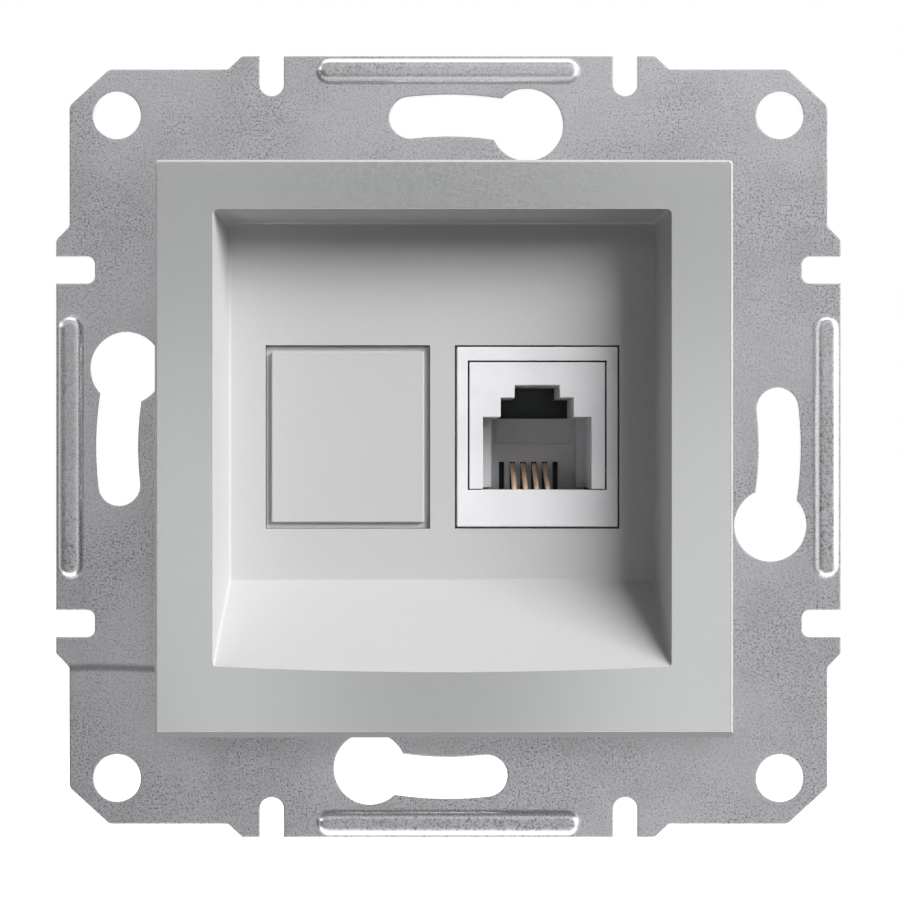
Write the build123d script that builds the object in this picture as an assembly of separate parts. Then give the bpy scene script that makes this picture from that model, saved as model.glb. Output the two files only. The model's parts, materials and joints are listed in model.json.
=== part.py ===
from build123d import *
from math import cos, radians, sin, sqrt, tan
import os

# Telephone wall socket: a pressed steel support plate carries a moulded tray, a cover with a
# recessed well, a blanking insert and one modular jack with spring contacts and wire terminals.
# Millimetres. The origin is the centre of the plate's back face, X is to the right, Z is up
# and Y goes into the wall, so what faces the room has a negative Y.

# Support plate: a nearly square steel sheet with stepped and chamfered corners
plate_width = 71.0
plate_height = 70.7
plate_t = 1.0
corner_inset = 1.2
tab_half = 18.7
tab_step = 1.25
step_round = 0.5
corner_cut_x = 3.6
corner_cut_z = 3.3
corner_round = 0.8

# Notches in the plate's edges, and the raised stiffening beads between them
notch_place = 16.0
notch_width = 2.2
notch_depth = 3.6
side_notch_width = 2.45
side_notch_depth = 3.5
side_notch_round = 0.7
bead_length = 23.8
bead_width = 2.25
bead_height = 0.8
bead_margin = 0.2
bead_groove_width = 1.1
bead_groove_depth = 0.9

# Holes in the plate: four corner holes, and four keyholes on one circle
corner_hole_pitch = 60.0
corner_hole = 4.3
keyhole_radius = 30.0
keyhole_slot = 3.8
keyhole_head = 6.55
keyhole_head_deg = 13.7
keyhole_tail_deg = 6.6

# The opening in the plate and all that it carries sit a little left of and below the centre
insert_dx = -0.4
insert_dz = -0.2

# Cover: a square cap whose front is sunk into a well with a sloping lower side
cover_size = 50.3
cover_wall = 1.8
cover_corner_round = 0.4
cover_edge_round = 0.2
cover_lower_bevel = 0.56
well_dx = -0.15
well_depth = 8.0
cover_floor = 1.5
well_wall = 1.3
well_width = 39.9
well_side_draft = 0.8
well_top_margin = 4.25
well_top_draft = 0.52
well_low_margin = 5.75
well_low_bow = 0.5
well_floor_low = 11.8
well_corner_round = 0.5
well_low_round = 0.25
well_floor_round = 0.2

# Windows in the well's floor, for the blank on the left and the jack on the right
window_width = 14.8
window_height = 16.5
window_pitch = 17.04
window_mid_dx = -0.14
window_dz = 1.085

# Clip tongues behind the well, which snap into the tray's side walls
clip_width = 4.4
clip_place = 6.0
clip_length = 5.2
clip_barb = 0.9
clip_barb_length = 1.5
clip_gap = 0.3
rib_t = 0.9
rib_place = 12.5

# Tray: the moulding behind the plate that both keystone modules snap into
tray_wall = 1.3
tray_corner_round = 4.0
tray_opening_gap = 0.15
tray_rim_gap = 0.1
tray_flange_reach = 2.15
tray_flange_t = 1.4
tray_flange_round = 11.0
flange_seat_depth = 0.5
flange_seat_gap = 0.2
lug_place = 14.0
lug_width = 5.0
lug_rise = 1.4
lug_reach = 0.9
lug_slit = 0.7
lug_slit_depth = 4.0

# Keystone modules: face size, the wall that they hook into, their hooks and their latches
face_width = 14.5
face_height = 16.2
face_corner_round = 0.15
face_edge_round = 0.12
module_play = 0.25
collar_t = 0.7
collar_lap = 0.04
keystone_wall_near = 8.2
keystone_wall_t = 1.6
hook_play = 0.1
hook_half_width = 4.0
hook_rib_t = 1.7
front_rib_reach = 1.2
rear_rib_reach = 1.6
hook_seat = 0.15
latch_half_width = 3.0
latch_start = 2.6
latch_lift = 2.8
latch_t = 1.0
latch_barb = 0.85
latch_tab_length = 2.3
latch_tab_lift = 1.7
channel_wall = 1.2
channel_low_gap = 0.6
channel_high_gap = 0.4

# Blanking insert: a raised pad on a hollow keystone body
pad_width = 13.72
pad_height = 15.37
pad_rise = 0.6
ledge_gap = 0.05
blank_front_t = 1.6
blank_wall = 1.2

# Jack frame and the plug shroud inside it
frame_depth = 14.7
shroud_width = 12.2
shroud_low = -4.68
shroud_high = 6.72
shroud_gap = 0.15
shroud_setback = 1.1
lip_top = -4.77
lip_t = 3.6
frame_floor_t = 1.0
port_width = 9.78
port_top = 1.80
step_width = 6.57
step_top = 3.54
latch_slot_width = 4.06
latch_slot_top = 4.66
port_back_t = 1.1
back_recess_width = 7.14
back_recess_low = -0.59
back_recess_depth = 0.4
pillar_place = 3.97
pillar_t = 9.9

# Spring contacts: round wires bent back over a small radius, four of six positions fitted
position_count = 6
first_fitted = 1
fitted_count = 4
contact_pitch = 1.016
contact_dx = -0.42
wire = 0.45
bend_radius = 0.75
bend_t = 4.9
bend_z = -5.3
arm_rise_deg = 13.8
arm_end_reach = 0.4
comb_slot = 0.5
comb_gap = 0.04

# Contact carrier: the grooved deck that holds the fixed ends of the wires
deck_top = -5.0
deck_gap = 0.05
deck_bottom_gap = 0.1
rail_width = 1.2
rail_gap = 0.05
groove_width = 0.52
groove_play = 0.03

# Circuit board behind the frame
board_gap = 0.1
board_t = 1.2
board_width = 13.8
board_height = 14.8
wire_hole = 0.66
pin_hole = 0.95
tail_stub = 0.6
pin_stub = 0.5

# Terminal block with two towers, each for two wires, and two arms that clip to the frame
base_width = 14.2
base_height = 15.0
base_t = 2.6
solder_recess_width = 6.2
solder_recess_height = 2.0
arm_gap = 0.05
arm_t = 0.85
arm_height = 6.0
arm_hook = 0.6
arm_hook_length = 1.5
arm_hook_t = 10.6
arm_window_play = 0.2
tower_dx = 4.2
tower_width = 3.6
tower_height = 10.4
tower_length = 7.0
terminal_dz = 2.3
wire_slot = 1.1
wire_slot_depth = 5.2
tower_bevel = 0.5

# Insulation-piercing blades
blade_t = 0.4
blade_width = 2.4
blade_play = 0.1
blade_foot = 0.6
blade_tip_gap = 0.8
blade_fork = 0.32
blade_fork_depth = 4.0
blade_lead = 0.8
blade_lead_width = 1.4
pin_width = 0.6

# Wire caps that push onto the towers from behind
cap_play = 0.12
cap_wall = 0.7
cap_roof = 1.0
cap_roof_gap = 0.1
cap_skirt = 4.4
cap_notch = 1.4
cap_notch_depth = 2.8
cap_rib = 0.8
cap_rib_length = 1.9
cap_rib_gap = 0.5
cap_corner_round = 0.7
cap_edge_round = 0.4

# Levels along Y, from the room towards the wall
plate_front = -plate_t
cover_front = plate_front - cover_floor - well_depth
face_y = cover_front + well_depth

# Places and sizes that follow from the values above
well_floor_half = well_width / 2 - well_side_draft
well_top = cover_size / 2 - well_top_margin
well_low = cover_size / 2 - well_low_margin
ramp_slope = (well_low - well_floor_low) / well_depth
tray_half = well_floor_half + well_wall + clip_gap + tray_wall
flange_half = tray_half + tray_flange_reach
opening_half = tray_half + tray_opening_gap
keystone_wall_far = keystone_wall_near + keystone_wall_t
tray_back = face_y + keystone_wall_far
module_half = face_width / 2 + module_play
collar_near = plate_front - face_y + tray_rim_gap
hook_low = -face_height / 2 - rear_rib_reach
seat_low = -face_height / 2 - hook_seat
notch_floor = face_height / 2 + latch_lift
seat_high = notch_floor + hook_seat
latch_high = notch_floor + latch_tab_lift
channel_low = hook_low - channel_low_gap
channel_high = latch_high + channel_high_gap
blank_dx = window_mid_dx - window_pitch / 2
jack_dx = window_mid_dx + window_pitch / 2
frame_half = shroud_width / 2 + shroud_gap
frame_floor = -face_height / 2 + frame_floor_t
tail_z = bend_z - bend_radius
shroud_depth = frame_depth - shroud_setback
port_depth = shroud_depth - port_back_t
arm_end_t = port_depth + arm_end_reach
board_near = frame_depth + board_gap
board_far = board_near + board_t
base_far = board_far + base_t
tower_end = base_far + tower_length
blade_foot_t = base_far - blade_foot
blade_end = tower_end - blade_tip_gap
cap_inner_end = tower_end + cap_roof_gap


def slab(outline, near, far):
    """Solid with an X-Z outline, from Y = near to Y = far."""
    return extrude(Plane.XZ.offset(-far) * outline, amount=far - near, dir=(0, -1, 0))


def bar(profile, left, right):
    """Solid with a Y-Z profile, from X = left to X = right."""
    return extrude(Plane.YZ.offset(left) * profile, amount=right - left, dir=(1, 0, 0))


def rising(profile, height):
    """Solid with an X-Y profile, half above and half below Z = 0."""
    return Pos(0, 0, -height / 2) * extrude(profile, amount=height, dir=(0, 0, 1))


def block(left, right, near, far, low, high):
    """Rectangular solid between the given limits in X, Y and Z."""
    middle = Pos((left + right) / 2, (near + far) / 2, (low + high) / 2)
    return middle * Box(right - left, far - near, high - low)


def polygon(*points):
    """Flat face with the given corners, kept where they are."""
    return Polygon(*points, align=None)


def insert_place():
    """Where the cover and the tray sit."""
    return Pos(insert_dx, 0, insert_dz)


def module_place(dx):
    """Frame of a keystone module: Y starts at its face, and Z at its window's centre."""
    return Pos(insert_dx + dx, face_y, insert_dz + window_dz)


def along_y(shape):
    """Edges of a solid that run along Y."""
    return shape.edges().filter_by(Axis.Y)


def save(shape, name):
    """Write one sub-part to its own file."""
    export_step(shape, f"parts/{name}.step")


def plate_outline():
    """Outer edge of the plate: full-size middles, set-back corners with a flat across each."""
    right = plate_width / 2
    top = plate_height / 2
    inset_right = right - corner_inset
    inset_top = top - corner_inset
    step_end = tab_half + tab_step
    quarter = polygon(
        (0, 0),
        (0, top),
        (tab_half, top),
        (step_end, inset_top),
        (inset_right - corner_cut_x, inset_top),
        (inset_right, inset_top - corner_cut_z),
        (inset_right, step_end),
        (right, tab_half),
        (right, 0),
    )
    half = quarter + mirror(quarter, Plane.YZ)
    whole = half + mirror(half, Plane.XZ)
    past_steps = step_end + step_round
    corners = whole.vertices().filter_by(lambda v: min(abs(v.X), abs(v.Y)) > past_steps)
    whole = fillet(corners, corner_round)
    steps = whole.vertices().filter_by(lambda v: tab_half - step_round < min(abs(v.X), abs(v.Y)) < past_steps)
    return fillet(steps, step_round)


def edge_notch(edge, width, depth, rounding):
    """Notch at X = 0 that starts a depth below an upper edge and runs out past it."""
    tall = depth + width
    return Pos(0, edge - depth + tall / 2) * RectangleRounded(width, tall, rounding)


def keyhole():
    """Curved slot on the keyhole circle with a round head at its clockwise end."""
    swept = keyhole_head_deg + keyhole_tail_deg
    arc = CenterArc((0, 0), keyhole_radius, 90 - keyhole_head_deg, swept)
    head = Rot(0, 0, -keyhole_head_deg) * Pos(0, keyhole_radius) * Circle(keyhole_head / 2)
    return SlotArc(arc, keyhole_slot) + head


def mounting_plate():
    """Pressed steel plate with beads, notches, keyholes and a stepped square opening."""
    outline = plate_outline()
    notch = edge_notch(plate_height / 2, notch_width, notch_depth, notch_width * 0.49)
    side_notch = edge_notch(plate_width / 2, side_notch_width, side_notch_depth, side_notch_round)
    for side in (-1, 1):
        for flip in (0, 180):
            outline -= Rot(0, 0, flip) * Pos(side * notch_place, 0) * notch
            outline -= Rot(0, 0, flip + 90) * Pos(side * notch_place, 0) * side_notch
    opening = RectangleRounded(2 * opening_half, 2 * opening_half, tray_corner_round + tray_opening_gap)
    outline -= Pos(insert_dx, insert_dz) * opening
    outline -= GridLocations(corner_hole_pitch, corner_hole_pitch, 2, 2) * Circle(corner_hole / 2)
    plate = slab(outline, plate_front, 0)
    keyholes = slab(Sketch() + [Rot(0, 0, turn) * keyhole() for turn in (0, 90, 180, 270)], plate_front, 0)
    plate -= keyholes
    seat_half = flange_half + flange_seat_gap
    seat = RectangleRounded(2 * seat_half, 2 * seat_half, tray_flange_round + flange_seat_gap)
    plate -= slab(Pos(insert_dx, insert_dz) * seat, -flange_seat_depth, 0)
    bead_inset = bead_margin + bead_width / 2
    bead = slab(SlotOverall(bead_length, bead_width), plate_front - bead_height, plate_front)
    bead = fillet(bead.faces().sort_by(Axis.Y)[0].edges(), bead_height * 0.95)
    groove_length = bead_length - bead_width + bead_groove_width
    groove = slab(SlotOverall(groove_length, bead_groove_width), -bead_groove_depth, 0)
    for turn, size in ((0, plate_height), (90, plate_width), (180, plate_height), (270, plate_width)):
        plate += Rot(0, turn, 0) * Pos(0, 0, size / 2 - bead_inset) * bead
        plate -= Rot(0, turn, 0) * Pos(0, 0, size / 2 - bead_inset) * groove
    return plate


def well_outline(half_width, top, bottom, bow):
    """Well at one depth: straight top and sides, and a lower edge that may bow down."""
    sides = Polyline((half_width, -bottom), (half_width, top), (-half_width, top), (-half_width, -bottom))
    if bow > 0:
        lower = ThreePointArc((-half_width, -bottom), (0, -bottom - bow), (half_width, -bottom))
    else:
        lower = Line((-half_width, -bottom), (half_width, -bottom))
    return make_face(sides + lower)


def corner_edges(core, half):
    """Edges from the well's mouth to its floor, in its upper (1) or lower (-1) half."""
    faces = core.faces().sort_by(Axis.Y)
    level_edges = faces[0].edges() + faces[-1].edges()
    return [edge for edge in core.edges() if edge not in level_edges and half * edge.center().Z > 0]


def well_core():
    """The hollow of the well, from the front of the cover to the well's floor."""
    top_at_floor = well_top - well_top_draft
    mouth = well_outline(well_width / 2, well_top, well_low - well_low_bow, well_low_bow)
    floor = well_outline(well_floor_half, top_at_floor, well_floor_low, 0)
    mouth = Plane.XZ.offset(-cover_front) * mouth
    floor = Plane.XZ.offset(-face_y) * floor
    core = loft([mouth, floor], ruled=True)
    core = fillet(corner_edges(core, 1), well_corner_round)
    core = fillet(corner_edges(core, -1), well_low_round)
    return fillet(core.faces().sort_by(Axis.Y)[-1].edges(), well_floor_round)


def well_shell():
    """The well's outside, one wall larger than its hollow, down to the back of its floor."""
    ramp_wall = well_wall * sqrt(1 + ramp_slope ** 2)
    top_at_floor = well_top - well_top_draft
    low_at_back = well_floor_low - cover_floor * ramp_slope + ramp_wall
    mouth = well_outline(well_width / 2 + well_wall, well_top + well_wall, well_low + ramp_wall, 0)
    back = well_outline(well_floor_half + well_wall, top_at_floor + well_wall, low_at_back, 0)
    mouth = Plane.XZ.offset(-cover_front) * mouth
    back = Plane.XZ.offset(-plate_front) * back
    return loft([mouth, back], ruled=True)


def cover_clip():
    """Tongue behind the right side of the well, with a barb that faces outwards."""
    inner = well_floor_half
    outer = well_floor_half + well_wall
    end = plate_front + clip_length
    barb_near = end - clip_barb_length
    profile = polygon(
        (inner, plate_front - cover_floor / 2),
        (outer, plate_front - cover_floor / 2),
        (outer, barb_near),
        (outer + clip_barb, barb_near),
        (outer, end),
        (inner, end),
    )
    return rising(profile, clip_width)


def cover():
    """Cap with a skirt, a sunk well with two windows, clip tongues and stiffening ribs."""
    half = cover_size / 2
    cap = block(-half, half, cover_front, plate_front, -half, half)
    cap = fillet(along_y(cap), cover_corner_round)
    cap = fillet(cap.faces().sort_by(Axis.Y)[0].edges(), cover_edge_round)
    bevel_far = cover_front + cover_lower_bevel
    bevel_high = -half + cover_lower_bevel
    cap -= bar(polygon((cover_front, -half), (cover_front, bevel_high), (bevel_far, -half)), -half, half)
    inner = half - cover_wall
    hollow = block(-inner, inner, cover_front + cover_wall, plate_front, -inner, inner)
    body = cap - hollow
    outside = well_shell()
    ribs = Part()
    for side in (-1, 1):
        at = side * rib_place
        ribs += block(at - rib_t / 2, at + rib_t / 2, cover_front + 1, plate_front - 1.6, -inner, inner)
        ribs += block(-inner, inner, cover_front + 1, plate_front - 1.6, at - rib_t / 2, at + rib_t / 2)
    body = body + ribs + Pos(well_dx, 0, 0) * outside - Pos(well_dx, 0, 0) * well_core()
    for dx in (blank_dx, jack_dx):
        window = Pos(dx, window_dz) * Rectangle(window_width, window_height)
        body -= slab(window, face_y - 1, plate_front)
    for place in (-clip_place, clip_place):
        clip = Pos(0, 0, place) * cover_clip()
        body += clip
        body += mirror(clip, Plane.YZ)
    return insert_place() * body


def snap_lug():
    """Lug on the tray's right wall that reaches through the opening and over the plate."""
    inner = tray_half - tray_wall
    root = plate_front + tray_rim_gap
    profile = polygon(
        (inner, root + plate_t),
        (inner, plate_front - lug_rise),
        (tray_half, plate_front - lug_rise),
        (tray_half + lug_reach, plate_front - tray_rim_gap / 2),
        (tray_half, plate_front - tray_rim_gap / 2),
        (tray_half, root + plate_t),
    )
    return rising(profile, lug_width)


def module_tray():
    """Tray with a flange seated behind the plate and a keystone channel for each module."""
    rim_near = plate_front + tray_rim_gap
    inner = tray_half - tray_wall
    wall_outline = RectangleRounded(2 * tray_half, 2 * tray_half, tray_corner_round)
    inner_outline = RectangleRounded(2 * inner, 2 * inner, tray_corner_round - tray_wall)
    flange_outline = RectangleRounded(2 * flange_half, 2 * flange_half, tray_flange_round)
    wall_near = tray_back - keystone_wall_t
    body = slab(wall_outline, rim_near, tray_back)
    body += slab(flange_outline, -flange_seat_depth, tray_flange_t - flange_seat_depth)
    body -= slab(inner_outline, rim_near, wall_near)
    for dx in (blank_dx, jack_dx):
        outer = module_half + channel_wall
        low = window_dz + channel_low
        high = window_dz + channel_high
        body += block(dx - outer, dx + outer, rim_near, wall_near, low - channel_wall, high + channel_wall)
    for dx in (blank_dx, jack_dx):
        low = window_dz + channel_low
        high = window_dz + channel_high
        body -= block(dx - module_half, dx + module_half, rim_near, wall_near, low, high)
        low = window_dz + seat_low
        high = window_dz + seat_high
        body -= block(dx - module_half, dx + module_half, wall_near, tray_back, low, high)
    clip_near = plate_front + clip_length - clip_barb_length - clip_gap
    clip_far = plate_front + clip_length + clip_gap
    clip_half = clip_width / 2 + clip_gap
    slit_far = plate_front + lug_slit_depth
    for side in (-1, 1):
        left = min(side * inner, side * (tray_half + 1))
        right = max(side * inner, side * (tray_half + 1))
        for place in (-clip_place, clip_place):
            body -= block(left, right, clip_near, clip_far, place - clip_half, place + clip_half)
        reach = max(side * inner, side * (flange_half + 1))
        start = min(side * inner, side * (flange_half + 1))
        for place in (-lug_place, lug_place):
            for edge in (-1, 1):
                at = place + edge * (lug_width + lug_slit) / 2
                body -= block(start, reach, rim_near, slit_far, at - lug_slit / 2, at + lug_slit / 2)
    for place in (-lug_place, lug_place):
        lug = Pos(0, 0, place) * snap_lug()
        body += lug
        body += mirror(lug, Plane.YZ)
    return insert_place() * body


def keystone_hooks():
    """Fixed ribs under a module, and the springy notched latch on top of it."""
    half = face_height / 2
    near = keystone_wall_near - hook_play
    far = keystone_wall_far + hook_play
    sunk = frame_floor_t / 2
    front_rib = polygon(
        (near - hook_rib_t, -half + sunk),
        (near - hook_rib_t, -half),
        (near, -half - front_rib_reach),
        (near, -half + sunk),
    )
    rear_rib = polygon(
        (far, -half + sunk),
        (far, hook_low),
        (far + hook_rib_t / 2, hook_low),
        (far + hook_rib_t, -half),
        (far + hook_rib_t, -half + sunk),
    )
    barb_top = notch_floor + latch_barb
    tab_end = far + latch_tab_length
    latch = polygon(
        (latch_start, half - sunk),
        (latch_start, half + latch_t / 2),
        (near - latch_t, barb_top),
        (near, barb_top),
        (near, notch_floor),
        (far, notch_floor),
        (far, barb_top + latch_t / 3),
        (tab_end, latch_high),
        (tab_end, latch_high - latch_t * 0.8),
        (far + latch_t * 0.6, notch_floor - latch_t * 0.7),
        (near, notch_floor - latch_t),
        (latch_start + 2 * latch_t, half),
        (latch_start + 2 * latch_t, half - sunk),
    )
    hooks = bar(front_rib, -hook_half_width, hook_half_width)
    hooks += bar(rear_rib, -hook_half_width, hook_half_width)
    return hooks + bar(latch, -latch_half_width, latch_half_width)


def stop_collar():
    """Rim behind the cover's floor that keeps a module from coming out through its window."""
    outline = Rectangle(window_width + 2 * collar_lap, window_height + 2 * collar_lap)
    return slab(outline, collar_near, collar_near + collar_t)


def keystone_body(depth):
    """Plain keystone body with softened corners and face edges."""
    body = slab(RectangleRounded(face_width, face_height, face_corner_round), 0, depth)
    return fillet(body.faces().sort_by(Axis.Y)[0].edges(), face_edge_round)


def blank_insert():
    """Hollow keystone body with a raised pad that closes the left window."""
    depth = keystone_wall_far + hook_play + hook_rib_t
    body = slab(Rectangle(face_width, face_height), pad_rise, depth) + stop_collar()
    ledge = Rectangle(window_width - 2 * ledge_gap, window_height - 2 * ledge_gap)
    body += slab(ledge, pad_rise, collar_near + collar_t / 2)
    inner = Rectangle(face_width - 2 * blank_wall, face_height - 2 * blank_wall)
    body -= slab(inner, pad_rise + blank_front_t, depth)
    pad = slab(RectangleRounded(pad_width, pad_height, face_corner_round), 0, pad_rise + blank_front_t / 2)
    pad = fillet(pad.faces().sort_by(Axis.Y)[0].edges(), face_edge_round)
    return module_place(blank_dx) * (body + pad + keystone_hooks())


def jack_frame():
    """White keystone body, open at the front above a lip and open behind."""
    body = keystone_body(frame_depth) + stop_collar() + keystone_hooks()
    frame_high = shroud_high + shroud_gap
    body -= block(-frame_half, frame_half, 0, lip_t, lip_top, frame_high)
    body -= block(-frame_half, frame_half, lip_t, frame_depth, frame_floor, frame_high)
    low = -arm_height / 2 - arm_window_play
    near = arm_hook_t - arm_window_play
    far = arm_hook_t + arm_hook_length + arm_window_play
    outer = face_width / 2
    body -= block(-outer, outer, near, far, low, -low)
    return module_place(jack_dx) * body


def contact_places():
    """X of each fitted contact, in the module's frame."""
    first = contact_dx - (position_count - 1) * contact_pitch / 2
    return [first + (first_fitted + index) * contact_pitch for index in range(fitted_count)]


def jack_shroud():
    """Shroud with the stepped plug port, open below, and a comb of slots in its back wall."""
    half = shroud_width / 2
    comb_top = arm_height_at(arm_end_t) + wire / 2 / cos(radians(arm_rise_deg)) + comb_gap
    comb_low = deck_top + deck_gap
    comb_half = half - rail_width - rail_gap
    body = block(-half, half, 0, shroud_depth, shroud_low, shroud_high)
    port = polygon(
        (-port_width / 2, shroud_low),
        (-port_width / 2, port_top),
        (-step_width / 2, port_top),
        (-step_width / 2, step_top),
        (-latch_slot_width / 2, step_top),
        (-latch_slot_width / 2, latch_slot_top),
        (latch_slot_width / 2, latch_slot_top),
        (latch_slot_width / 2, step_top),
        (step_width / 2, step_top),
        (step_width / 2, port_top),
        (port_width / 2, port_top),
        (port_width / 2, shroud_low),
    )
    body -= slab(port, 0, port_depth)
    for side in (-1, 1):
        left = min(side * pillar_place, side * port_width / 2)
        right = max(side * pillar_place, side * port_width / 2)
        body += block(left, right, pillar_t, port_depth, shroud_low, port_top)
    body += block(-comb_half, comb_half, port_depth, shroud_depth, comb_low, shroud_low)
    latch_half = latch_slot_width / 2
    body -= block(-latch_half, latch_half, port_depth, shroud_depth, step_top, latch_slot_top)
    step_half = step_width / 2
    body -= block(-step_half, step_half, port_depth, shroud_depth, port_top, step_top)
    recess_far = port_depth + back_recess_depth
    recess_half = back_recess_width / 2
    body -= block(-recess_half, recess_half, port_depth, recess_far, back_recess_low, port_top)
    for index in range(position_count):
        at = contact_dx + (index - (position_count - 1) / 2) * contact_pitch
        half_slot = comb_slot / 2
        body -= block(at - half_slot, at + half_slot, port_depth, shroud_depth, comb_low, comb_top)
    return module_place(jack_dx) * body


def arm_height_at(depth):
    """Height of a contact arm's centre line at a given depth behind the face."""
    rise = radians(arm_rise_deg)
    start_t = bend_t - bend_radius * sin(rise)
    start_z = bend_z + bend_radius * cos(rise)
    return start_z + (depth - start_t) * tan(rise)


def contact_arm(at):
    """Moving part of one wire: the bend, then the arm that rises towards the comb."""
    rise = radians(arm_rise_deg)
    section = Plane((at, bend_t, tail_z), x_dir=(1, 0, 0), z_dir=(0, -1, 0)) * Circle(wire / 2)
    hinge = Axis((at, bend_t, bend_z), (-1, 0, 0))
    bend = revolve(section, axis=hinge, revolution_arc=180 - arm_rise_deg)
    start_t = bend_t - bend_radius * sin(rise)
    start = Plane((at, start_t, arm_height_at(start_t)), x_dir=(1, 0, 0), z_dir=(0, cos(rise), sin(rise)))
    arm = extrude(start * Circle(wire / 2), amount=(arm_end_t - start_t) / cos(rise))
    tip = arm.faces().sort_by(Axis.Y)[-1].edges()
    return bend + chamfer(tip, wire * 0.25)


def contact_tail(at):
    """Fixed part of one wire: straight back through the carrier and the board."""
    section = Pos(at, tail_z) * Circle(wire / 2)
    return slab(section, bend_t, board_far + tail_stub)


def contact_carrier():
    """Deck with a groove under it for each wire position, and a rail along each side."""
    half = shroud_width / 2
    low = frame_floor + deck_bottom_gap
    far = frame_depth + board_gap / 2
    body = block(-half, half, bend_t, far, low, deck_top)
    for side in (-1, 1):
        left = min(side * half, side * (half - rail_width))
        body += block(left, left + rail_width, bend_t, far, deck_top - 0.5, shroud_low - rail_gap)
    groove_top = tail_z + wire / 2 + groove_play
    for index in range(position_count):
        at = contact_dx + (index - (position_count - 1) / 2) * contact_pitch
        body -= block(at - groove_width / 2, at + groove_width / 2, bend_t, far, low, groove_top)
    return module_place(jack_dx) * body


def terminal_places():
    """X and Z of each wire terminal, in the module's frame."""
    return [(side * tower_dx, row * terminal_dz) for side in (-1, 1) for row in (1, -1)]


def circuit_board():
    """Small board with plated holes for the contact wires and the blades' pins."""
    outline = Rectangle(board_width, board_height)
    for at in contact_places():
        outline -= Pos(at, tail_z) * Circle(wire_hole / 2)
    for x, z in terminal_places():
        outline -= Pos(x, z) * Circle(pin_hole / 2)
    return module_place(jack_dx) * slab(outline, board_near, board_far)


def terminal_arm():
    """Right arm of the terminal block, with a hook that enters the frame's side window."""
    inner = face_width / 2 + arm_gap
    outer = inner + arm_t
    profile = polygon(
        (base_width / 2 - 1, base_far),
        (base_width / 2 - 1, board_far),
        (inner, board_far),
        (inner, arm_hook_t + arm_hook_length),
        (inner - arm_hook, arm_hook_t + arm_hook_length),
        (inner, arm_hook_t),
        (outer, arm_hook_t),
        (outer, base_far),
    )
    return rising(profile, arm_height)


def terminal_block():
    """Base behind the board with two slotted towers and two clip arms."""
    body = slab(RectangleRounded(base_width, base_height, tower_bevel), board_far, base_far)
    body += terminal_arm()
    body += mirror(terminal_arm(), Plane.YZ)
    for side in (-1, 1):
        tower = Pos(side * tower_dx, 0) * Rectangle(tower_width, tower_height)
        tower = slab(tower, base_far - 0.5, tower_end)
        body += chamfer(tower.faces().sort_by(Axis.Y)[-1].edges(), tower_bevel)
    half_slot = wire_slot / 2
    slot_near = tower_end - wire_slot_depth
    pocket_x = blade_t / 2 + blade_play
    pocket_z = blade_width / 2 + blade_play
    pin_z = pin_width / 2 + blade_play
    for x, z in terminal_places():
        half = tower_width / 2
        body -= block(x - half, x + half, slot_near, tower_end, z - half_slot, z + half_slot)
        near = blade_foot_t - blade_play
        body -= block(x - pocket_x, x + pocket_x, near, tower_end, z - pocket_z, z + pocket_z)
        body -= block(x - pocket_x, x + pocket_x, board_far, near, z - pin_z, z + pin_z)
    solder = Pos(contact_dx, tail_z) * Rectangle(solder_recess_width, solder_recess_height)
    body -= slab(solder, board_far, board_far + tail_stub + 0.4)
    return module_place(jack_dx) * body


def terminal_blade(x, z):
    """Forked blade with a narrow pin that passes through the base and the board."""
    half = blade_width / 2
    fork = blade_fork / 2
    lead = blade_lead_width / 2
    fork_near = blade_end - blade_fork_depth
    upper = [
        (board_near - pin_stub, pin_width / 2),
        (blade_foot_t, pin_width / 2),
        (blade_foot_t, half),
        (blade_end, half),
        (blade_end, lead),
        (blade_end - blade_lead, fork),
        (fork_near, fork),
    ]
    lower = [(t, -height) for t, height in reversed(upper)]
    blade = bar(polygon(*upper, *lower), -blade_t / 2, blade_t / 2)
    return module_place(jack_dx) * Pos(x, 0, z) * blade


def wire_cap(side):
    """Cap that fits over one tower, with notches for the wires and ribs that press them."""
    half_x = tower_width / 2 + cap_play
    half_z = tower_height / 2 + cap_play
    near = cap_inner_end - cap_skirt
    outline = RectangleRounded(2 * (half_x + cap_wall), 2 * (half_z + cap_wall), cap_corner_round)
    outer = slab(outline, near, cap_inner_end + cap_roof)
    outer = fillet(outer.faces().sort_by(Axis.Y)[-1].edges(), cap_edge_round)
    body = outer - block(-half_x, half_x, near, cap_inner_end, -half_z, half_z)
    for row in (-1, 1):
        at = row * terminal_dz
        wide = half_x + cap_wall
        body -= block(-wide, wide, near, near + cap_notch_depth, at - cap_notch / 2, at + cap_notch / 2)
        for flank in (-1, 1):
            left = min(flank * cap_rib_gap, flank * half_x)
            right = max(flank * cap_rib_gap, flank * half_x)
            rib_near = cap_inner_end - cap_rib_length
            rib_far = cap_inner_end + cap_roof / 2
            body += block(left, right, rib_near, rib_far, at - cap_rib / 2, at + cap_rib / 2)
    return module_place(jack_dx) * Pos(side * tower_dx, 0, 0) * body


os.makedirs("parts", exist_ok=True)
save(mounting_plate(), "mounting_plate")
save(cover(), "cover")
save(module_tray(), "module_tray")
save(blank_insert(), "blank_insert")
save(jack_frame(), "jack_frame")
save(jack_shroud(), "jack_shroud")
save(contact_carrier(), "contact_carrier")
for number, x_place in enumerate(contact_places(), start=1):
    save(module_place(jack_dx) * contact_arm(x_place), f"contact_arm_{number}")
    save(module_place(jack_dx) * contact_tail(x_place), f"contact_tail_{number}")
save(circuit_board(), "circuit_board")
save(terminal_block(), "terminal_block")
for number, (x_place, z_place) in enumerate(terminal_places(), start=1):
    save(terminal_blade(x_place, z_place), f"terminal_blade_{number}")
save(wire_cap(-1), "wire_cap_left")
save(wire_cap(1), "wire_cap_right")
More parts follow.
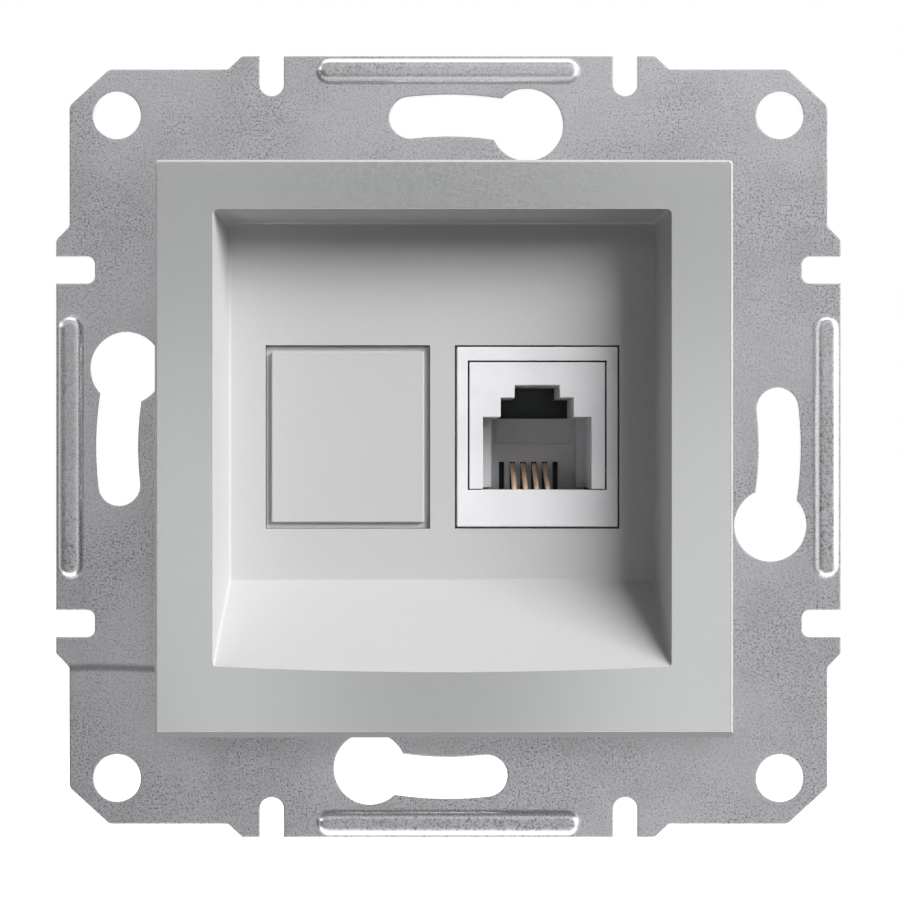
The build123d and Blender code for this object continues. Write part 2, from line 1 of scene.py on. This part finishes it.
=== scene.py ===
import json
from math import cos, radians, sin

import bpy
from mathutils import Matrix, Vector


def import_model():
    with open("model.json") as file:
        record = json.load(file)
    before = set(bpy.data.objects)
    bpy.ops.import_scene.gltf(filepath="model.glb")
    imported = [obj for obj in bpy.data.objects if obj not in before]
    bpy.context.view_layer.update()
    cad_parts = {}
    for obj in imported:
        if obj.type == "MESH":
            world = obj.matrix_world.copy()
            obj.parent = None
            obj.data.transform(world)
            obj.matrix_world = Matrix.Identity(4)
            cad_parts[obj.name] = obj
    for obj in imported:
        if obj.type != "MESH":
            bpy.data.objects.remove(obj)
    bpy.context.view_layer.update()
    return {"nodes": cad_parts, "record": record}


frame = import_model()

MM = 0.001

# Camera: square on to the cover, close enough to see down the walls of the well
CAMERA_PLACE = (0.14 * MM, -240 * MM, -0.29 * MM)
LENS_MM = 105.6
SENSOR_MM = 36.0

# Softboxes: degrees to the right of the camera, degrees up, size in metres, and watts. The key lights the
# front, and the others stand behind the part and light only its back and its left side.
SOFTBOX_DISTANCE = 1.0
SOFTBOXES = {
    "key": (47, 27, (0.74, 0.5), 17.9),
    "back": (170, 35, (0.9, 0.9), 9.0),
    "left": (250, 15, (0.5, 0.5), 7.0),
}

# Light that comes from all round the object
AMBIENT = 0.015

# What gloss shows of the studio, by its direction from the part, where 1 is the whole way along an axis.
# Each part of the room is a product of smooth ramps, written as axis, start, end, level at start and level
# at end, and the brightest part counts.
ROOM = {
    "cards beside the camera": (
        ("sideways", 0.03, 0.095, 0.0, 1.65),
        ("sideways", 0.115, 0.165, 1.0, 0.12),
        ("up", 0.01, 0.09, 1.0, 0.25),
        ("down", 0.02, 0.14, 1.0, 0.8),
        ("right", -0.12, 0.12, 0.95, 1.0),
    ),
    "dim front": (
        ("right", -0.2, 0.2, 0.2, 1.2),
        ("up", -0.1, 0.05, 0.42, 0.12),
        ("down", 0.115, 0.2, 1.0, 1.5),
    ),
    "window on the right": (
        ("right", 0.45, 0.7, 0.0, 1.8),
        ("up", -0.5, -0.1, 0.0, 1.0),
    ),
    "band above the camera": (
        ("up", 0.15, 0.24, 0.0, 2.3),
        ("up", 0.3, 0.45, 1.0, 0.3),
        ("right", -0.15, 0.15, 0.75, 1.1),
    ),
    "ceiling": (("up", 0.7, 0.9, 0.0, 1.4),),
    "ground": (("down", 0.4, 0.7, 0.0, 1.7),),
    "wall behind": (
        ("back", -0.35, 0.05, 0.0, 1.0),
        ("right", -0.9, -0.3, 0.45, 1.0),
    ),
}

# Floor: pale, well below the part, which hangs on a wall in use
FLOOR_DROP = 0.16
FLOOR_SIZE = 8.0
FLOOR_DIFFUSE = 0.8
FLOOR_SPECKLE_MM = 3
FLOOR_SPECKLE_SHARE = 0.97
FLOOR_BOUNCE = 0.03
FLOOR_GLOW_NEAR = 0.45
FLOOR_GLOW_START = 0.15
FLOOR_GLOW_END = 0.6

# Colour tints: red, green and blue shares of a grey level
NEUTRAL = (1.0, 1.0, 1.0)
VIOLET_DARK = (1.0, 0.99, 1.05)
VIOLET_LIGHT = (1.0, 0.99, 1.04)
VIOLET_BROAD = (0.99, 0.98, 1.03)
CYAN = (0.97, 1.0, 1.0)
CYAN_GLOSS = (0.96, 1.0, 0.99)
LACQUER_TINT = (1.0, 0.995, 1.0)

# Zinc-plated sheet: speckle, clouds and broad patches of tone
ZINC_SPECKLE_MM = 0.17
ZINC_SPECKLE_ROUGHNESS = 0.6
ZINC_SPECKLE_RANGE = (0.30, 0.56)
ZINC_SPECKLE_LEVELS = (0.20, 0.58)
ZINC_CLOUD_MM = 3.2
ZINC_CLOUD_RANGE = (0.42, 0.62)
ZINC_CLOUD_MOST = 0.3
ZINC_CLOUD_LEVEL = 0.44
ZINC_BROAD_MM = 14
ZINC_BROAD_RANGE = (0.40, 0.60)
ZINC_BROAD_MOST = 0.45
ZINC_BROAD_LEVEL = 0.62
ZINC_ROUGHNESS = (0.30, 0.42)
ZINC_BUMP = 0.35
ZINC_BUMP_MM = 0.03
ZINC_EDGE_MM = 0.22

# Its slopes and edges, smoother from burnishing by the press and painted lighter there as a highlight: how
# far the surface still faces front or back
BURNISH_AND_HIGHLIGHT_LEAN = (0.97, 0.85)
PAINTED_HIGHLIGHT_LEVEL = 0.92
BURNISHED_ROUGHNESS = -0.1

# Painted shade line on the left of its front: a dark level line that wanders a little
SHADE_LINE_HEIGHT = -19.3 * MM
SHADE_LINE_WANDER = 1.2 * MM
SHADE_LINE_HALF_WIDTH = (0.5 * MM, 0.1 * MM)
SHADE_LINE_START_X = (-22 * MM, -25 * MM)
SHADE_LINE_MOST = 0.6
SHADE_LINE_LEAN = (-0.3, -0.8)
SHADE_LINE_LEVEL = 0.12

# Aluminium-coloured lacquer, and the glossier coat on the cover's flat front
FLAKE_MM = 0.09
LACQUER_CLOUD_MM = 6
LACQUER_CLOUD_MOST = 0.12
LACQUER_LEVELS = (0.56, 0.60)
LACQUER_CLOUD_LEVEL = 0.55
LACQUER_METALLIC = 0.15
LACQUER_ROUGHNESS = (0.5, 0.56)
LACQUER_BUMP = 0.05
LACQUER_BUMP_MM = 0.01
LACQUER_EDGE_MM = 0.06
COAT_DEPTH = (-10.3 * MM, -10.45 * MM)
COAT_LEAN = (-0.9, -0.99)
COAT_SHARE = 0.3
COAT_LEVEL = 0.85
COAT_METALLIC = 0.7
COAT_ROUGHNESS = -0.33

# Moulded plastics: light and dark tone, roughness, and strength of the grain's bump
PLASTICS = {
    "white_plastic": ((0.86, 0.86, 0.88, 1), (0.81, 0.81, 0.835, 1), 0.38, 0.12),
    "grey_plastic": ((0.30, 0.31, 0.32, 1), (0.275, 0.285, 0.295, 1), 0.5, 0.25),
    "black_plastic": ((0.035, 0.035, 0.038, 1), (0.02, 0.02, 0.022, 1), 0.45, 0.12),
    "cap_plastic": ((0.68, 0.71, 0.74, 1), (0.60, 0.63, 0.67, 1), 0.3, 0.12),
    "board": ((0.018, 0.04, 0.026, 1), (0.012, 0.028, 0.018, 1), 0.4, 0.12),
}
PLASTIC_GRAIN_MM = 0.12
PLASTIC_GRAIN_RANGE = (0.55, 0.8)
PLASTIC_GRAIN_MOST = 0.25
PLASTIC_CLOUD_MM = 4.5
PLASTIC_ROUGHNESS = (-0.05, 0.08)
PLASTIC_BUMP_MM = 0.015
PLASTIC_EDGE_MM = 0.12

# Drawn and rolled metals: light and dark tone, roughness, how much finer the lines are along each axis,
# and share of metal in the surface
METALS = {
    "gold_wire": ((1.0, 0.78, 0.56, 1), (0.9, 0.62, 0.4, 1), 0.35, (6, 0.3, 6), 0.25),
    "tinned_bronze": ((0.72, 0.71, 0.67, 1), (0.55, 0.54, 0.50, 1), 0.34, (3, 0.3, 3), 1.0),
}
LINES_MM = 0.1
METAL_CLOUD_MM = 1.5
METAL_CLOUD_RANGE = (0.5, 0.75)
METAL_CLOUD_MOST = 0.3
METAL_ROUGHNESS = (-0.06, 0.1)
METAL_BUMP = 0.12
METAL_BUMP_MM = 0.008
METAL_EDGE_MM = 0.04

# Parts of a noise's range, over which a tone or a roughness goes from one end to the other
MIDDLE = (0.35, 0.65)
INNER = (0.3, 0.7)
MOST = (0.25, 0.75)


class Tree:
    """A material's or world's node tree, with nodes added by type name."""

    def __init__(self, tree):
        self.tree = tree
        self.nodes = tree.nodes
        self.nodes.clear()

    def put(self, socket, value):
        """Link a socket's value into an input, or set a plain one."""
        if isinstance(value, bpy.types.NodeSocket):
            self.tree.links.new(value, socket)
        else:
            socket.default_value = value

    def add(self, kind, settings=None, **inputs):
        """Add a node. Inputs are named with underscores, or i0, i1 and so on by number."""
        node = self.nodes.new("ShaderNode" + kind)
        for name, value in (settings or {}).items():
            setattr(node, name, value)
        for name, value in inputs.items():
            numbered = name[0] == "i" and name[1:].isdigit()
            self.put(node.inputs[int(name[1:]) if numbered else name.replace("_", " ")], value)
        return node

    def math(self, operation, *values):
        inputs = {f"i{index}": value for index, value in enumerate(values)}
        return self.add("Math", {"operation": operation}, **inputs).outputs[0]

    def ramp(self, value, low, high, to_low=0.0, to_high=1.0):
        """Value between low and high, mapped smoothly to another range."""
        node = self.add("MapRange", {"interpolation_type": "SMOOTHSTEP"}, i0=value, i1=low, i2=high,
                        i3=to_low, i4=to_high)
        return node.outputs[0]

    def mix(self, share, first, second):
        """Colour that goes from the first to the second as the share goes from 0 to 1."""
        node = self.add("Mix", {"data_type": "RGBA"}, i0=share, i6=first, i7=second)
        return node.outputs[2]

    def place(self):
        """Object coordinates, in metres."""
        return self.add("TexCoord").outputs["Object"]

    def noise(self, size_mm, detail=2.0, vector=None, roughness=0.5):
        """Noise whose features are about this many millimetres across."""
        node = self.add("TexNoise", Vector=vector or self.place(), Scale=1 / (size_mm * MM), Detail=detail,
                        Roughness=roughness)
        return node.outputs[0]

    def stretched(self, x, y, z):
        """Object coordinates scaled along each axis."""
        return self.add("Mapping", Vector=self.place(), Scale=(x, y, z)).outputs[0]

    def lean(self):
        """How far the surface faces the wall: 1 at the part's back, -1 at its front."""
        return self.add("SeparateXYZ", Vector=self.add("NewGeometry").outputs["True Normal"]).outputs[1]

    def bumped(self, height, strength, depth_mm, edge_mm):
        """Normal with a bump from a height, over edges that are softened by a small radius."""
        edge = self.add("Bevel", {"samples": 6}, Radius=edge_mm * MM).outputs[0]
        bump = self.add("Bump", Height=height, Strength=strength, Distance=depth_mm * MM, Normal=edge)
        return bump.outputs[0]

    def surface(self, colour, metallic, roughness, normal):
        shader = self.add("BsdfPrincipled", Base_Color=colour, Metallic=metallic, Roughness=roughness,
                          Normal=normal)
        self.add("OutputMaterial", Surface=shader.outputs[0])


def grey(level, tint=NEUTRAL):
    return (level * tint[0], level * tint[1], level * tint[2], 1.0)


def new_material(name):
    made = bpy.data.materials.new(name)
    made.use_nodes = True
    return made, Tree(made.node_tree)


def zinc_steel():
    """Zinc-plated sheet: fine speckle, clouds of tone, slopes and edges made smoother by burnishing and
    painted lighter as a highlight, and a dark painted shade line.
    """
    made, tree = new_material("zinc_steel")
    grain = tree.noise(ZINC_SPECKLE_MM, 2, roughness=ZINC_SPECKLE_ROUGHNESS)
    cloud = tree.noise(ZINC_CLOUD_MM, 3)
    broad = tree.noise(ZINC_BROAD_MM, 2)
    dark, light = ZINC_SPECKLE_LEVELS
    speckle = tree.ramp(grain, *ZINC_SPECKLE_RANGE)
    colour = tree.mix(speckle, grey(dark, VIOLET_DARK), grey(light, VIOLET_LIGHT))
    clouded = tree.ramp(cloud, *ZINC_CLOUD_RANGE, 0.0, ZINC_CLOUD_MOST)
    colour = tree.mix(clouded, colour, grey(ZINC_CLOUD_LEVEL, CYAN))
    patched = tree.ramp(broad, *ZINC_BROAD_RANGE, 0.0, ZINC_BROAD_MOST)
    colour = tree.mix(patched, colour, grey(ZINC_BROAD_LEVEL, VIOLET_BROAD))
    lean = tree.lean()
    burnish_and_highlight = tree.ramp(tree.math("ABSOLUTE", lean), *BURNISH_AND_HIGHLIGHT_LEAN)
    # Painted highlight: slopes and edges lighter in tone than the flat sheet
    colour = tree.mix(burnish_and_highlight, colour, grey(PAINTED_HIGHLIGHT_LEVEL))
    roughness = tree.ramp(grain, *MOST, *ZINC_ROUGHNESS)
    roughness = tree.math("MULTIPLY_ADD", burnish_and_highlight, BURNISHED_ROUGHNESS, roughness)
    x, _, z = tree.add("SeparateXYZ", Vector=tree.place()).outputs
    # Painted shade: a dark level line across the left of the front, darkening the colour
    wander = tree.math("MULTIPLY_ADD", broad, SHADE_LINE_WANDER, z)
    off_line = tree.math("ABSOLUTE", tree.math("SUBTRACT", wander, SHADE_LINE_HEIGHT))
    painted_shade_line = tree.ramp(off_line, *SHADE_LINE_HALF_WIDTH)
    painted_shade_line = tree.math("MULTIPLY", painted_shade_line, tree.ramp(x, *SHADE_LINE_START_X, 0.0, SHADE_LINE_MOST))
    painted_shade_line = tree.math("MULTIPLY", painted_shade_line, tree.ramp(lean, *SHADE_LINE_LEAN))
    colour = tree.mix(painted_shade_line, colour, grey(SHADE_LINE_LEVEL))
    tree.surface(colour, 1.0, roughness, tree.bumped(grain, ZINC_BUMP, ZINC_BUMP_MM, ZINC_EDGE_MM))
    return made


def aluminium_lacquer():
    """Lacquer with fine aluminium flakes: glossier on the cover's front than inside the well."""
    made, tree = new_material("aluminium_lacquer")
    flake = tree.noise(FLAKE_MM, 1)
    cloud = tree.noise(LACQUER_CLOUD_MM, 2)
    dark, light = (grey(level, LACQUER_TINT) for level in LACQUER_LEVELS)
    colour = tree.mix(tree.ramp(flake, *INNER), dark, light)
    clouded = tree.ramp(cloud, *MIDDLE, 0.0, LACQUER_CLOUD_MOST)
    colour = tree.mix(clouded, colour, grey(LACQUER_CLOUD_LEVEL))
    y = tree.add("SeparateXYZ", Vector=tree.place()).outputs[1]
    coat = tree.math("MULTIPLY", tree.ramp(y, *COAT_DEPTH), tree.ramp(tree.lean(), *COAT_LEAN))
    colour = tree.mix(tree.math("MULTIPLY", coat, COAT_SHARE), colour, grey(COAT_LEVEL, CYAN_GLOSS))
    metallic = tree.math("MULTIPLY_ADD", coat, COAT_METALLIC, LACQUER_METALLIC)
    roughness = tree.ramp(flake, *MOST, *LACQUER_ROUGHNESS)
    roughness = tree.math("MULTIPLY_ADD", coat, COAT_ROUGHNESS, roughness)
    normal = tree.bumped(flake, LACQUER_BUMP, LACQUER_BUMP_MM, LACQUER_EDGE_MM)
    tree.surface(colour, metallic, roughness, normal)
    return made


def moulded(name, light, dark, roughness, bump):
    """Moulded plastic: a fine spark-eroded grain, faint flow clouds and dust in the tone."""
    made, tree = new_material(name)
    grain = tree.noise(PLASTIC_GRAIN_MM, 2)
    cloud = tree.noise(PLASTIC_CLOUD_MM, 3)
    colour = tree.mix(tree.ramp(cloud, *MIDDLE), light, dark)
    colour = tree.mix(tree.ramp(grain, *PLASTIC_GRAIN_RANGE, 0.0, PLASTIC_GRAIN_MOST), colour, dark)
    roughness = tree.ramp(grain, *MOST, *(roughness + change for change in PLASTIC_ROUGHNESS))
    tree.surface(colour, 0.0, roughness, tree.bumped(grain, bump, PLASTIC_BUMP_MM, PLASTIC_EDGE_MM))
    return made


def metal(name, light, dark, roughness, streak, metallic):
    """Drawn or rolled metal with fine lines along one axis."""
    made, tree = new_material(name)
    lines = tree.noise(LINES_MM, 2, tree.stretched(*streak))
    cloud = tree.noise(METAL_CLOUD_MM, 2)
    colour = tree.mix(tree.ramp(lines, *INNER), light, dark)
    colour = tree.mix(tree.ramp(cloud, *METAL_CLOUD_RANGE, 0.0, METAL_CLOUD_MOST), colour, dark)
    roughness = tree.ramp(lines, *MOST, *(roughness + change for change in METAL_ROUGHNESS))
    tree.surface(colour, metallic, roughness, tree.bumped(lines, METAL_BUMP, METAL_BUMP_MM, METAL_EDGE_MM))
    return made


def dress():
    """Give every CAD node the material of its slot."""
    materials = {"zinc_steel": zinc_steel(), "aluminium_lacquer": aluminium_lacquer()}
    for make, looks in ((moulded, PLASTICS), (metal, METALS)):
        for name, look in looks.items():
            materials[name] = make(name, *look)
    slots = {part["node"]: part["material_slot"] for part in frame["record"]["subparts"]}
    for name, node in frame["nodes"].items():
        for slot in node.material_slots:
            slot.material = materials[slots[name]]


def room(tree, way):
    """What gloss shows of the studio, that way from the part."""
    x, y, z = tree.add("SeparateXYZ", Vector=way).outputs
    sideways = tree.math("ABSOLUTE", x)
    down = tree.math("MULTIPLY", z, -1.0)
    along = {"right": x, "back": y, "up": z, "sideways": sideways, "down": down}
    level = 0.0
    for ramps in ROOM.values():
        part = 1.0
        for axis, *limits in ramps:
            part = tree.math("MULTIPLY", part, tree.ramp(along[axis], *limits))
        level = tree.math("MAXIMUM", level, part)
    return level


def floor():
    """Pale floor: it takes the part's shadow, glows white further off, and bounces little light back."""
    half = FLOOR_SIZE / 2
    level = CAMERA_PLACE[2] - FLOOR_DROP
    mesh = bpy.data.meshes.new("floor")
    corners = [(-half, -half, level), (half, -half, level), (half, half, level), (-half, half, level)]
    mesh.from_pydata(corners, [], [(0, 1, 2, 3)])
    made = bpy.data.objects.new("floor", mesh)
    bpy.context.scene.collection.objects.link(made)
    paint, tree = new_material("floor")
    path = tree.add("LightPath").outputs
    seen = tree.math("MAXIMUM", path["Is Camera Ray"], path["Is Transmission Ray"])
    far = tree.add("VectorMath", {"operation": "LENGTH"}, i0=tree.stretched(1, 1, 0)).outputs["Value"]
    glow = tree.ramp(far, FLOOR_GLOW_START, FLOOR_GLOW_END, FLOOR_GLOW_NEAR, 1.0)
    glow = tree.math("MULTIPLY", glow, seen)
    way = tree.add("VectorMath", {"operation": "NORMALIZE"}, i0=tree.place()).outputs[0]
    shown = tree.math("MULTIPLY", room(tree, way), path["Is Glossy Ray"])
    light = tree.add("Emission", Color=grey(1), Strength=tree.math("MAXIMUM", glow, shown))
    darker = grey(FLOOR_DIFFUSE * FLOOR_SPECKLE_SHARE)
    speckle = tree.mix(tree.noise(FLOOR_SPECKLE_MM, 2), grey(FLOOR_DIFFUSE), darker)
    speckle = tree.mix(path["Is Camera Ray"], grey(FLOOR_BOUNCE), speckle)
    matt = tree.add("BsdfDiffuse", Color=speckle)
    both = tree.add("AddShader", i0=matt.outputs[0], i1=light.outputs[0])
    tree.add("OutputMaterial", Surface=both.outputs[0])
    mesh.materials.append(paint)


def world():
    """White to the camera, the room to gloss, and almost no light on anything else."""
    made = bpy.data.worlds.new("studio")
    made.use_nodes = True
    tree = Tree(made.node_tree)
    path = tree.add("LightPath").outputs
    seen = tree.math("MAXIMUM", path["Is Camera Ray"], path["Is Transmission Ray"])
    way = tree.add("TexCoord").outputs["Generated"]
    glossy = tree.math("MULTIPLY", room(tree, way), path["Is Glossy Ray"])
    ambient = tree.math("MAXIMUM", glossy, AMBIENT)
    strength = tree.math("MAXIMUM", ambient, seen)
    background = tree.add("Background", Color=grey(1), Strength=strength)
    tree.add("OutputWorld", Surface=background.outputs[0])
    bpy.context.scene.world = made


def softbox(name, right_deg, up_deg, size, watts):
    """Area lamp at a direction seen from the part, facing it. Gloss sees the room instead of it."""
    lamp = bpy.data.lights.new(name, "AREA")
    lamp.shape = "RECTANGLE"
    lamp.size, lamp.size_y = size
    lamp.energy = watts
    made = bpy.data.objects.new(name, lamp)
    right, up = radians(right_deg), radians(up_deg)
    way = Vector((sin(right) * cos(up), -cos(right) * cos(up), sin(up)))
    made.location = way * SOFTBOX_DISTANCE
    made.rotation_euler = (-way).to_track_quat("-Z", "Y").to_euler()
    made.visible_glossy = False
    bpy.context.scene.collection.objects.link(made)


def camera():
    lens = bpy.data.cameras.new("camera")
    lens.lens = LENS_MM
    lens.sensor_width = SENSOR_MM
    made = bpy.data.objects.new("camera", lens)
    made.location = CAMERA_PLACE
    made.rotation_euler = (radians(90), 0, 0)
    bpy.context.scene.collection.objects.link(made)
    bpy.context.scene.camera = made


dress()
floor()
world()
for name, settings in SOFTBOXES.items():
    softbox(name, *settings)
camera()
bpy.context.scene.view_settings.view_transform = "Standard"
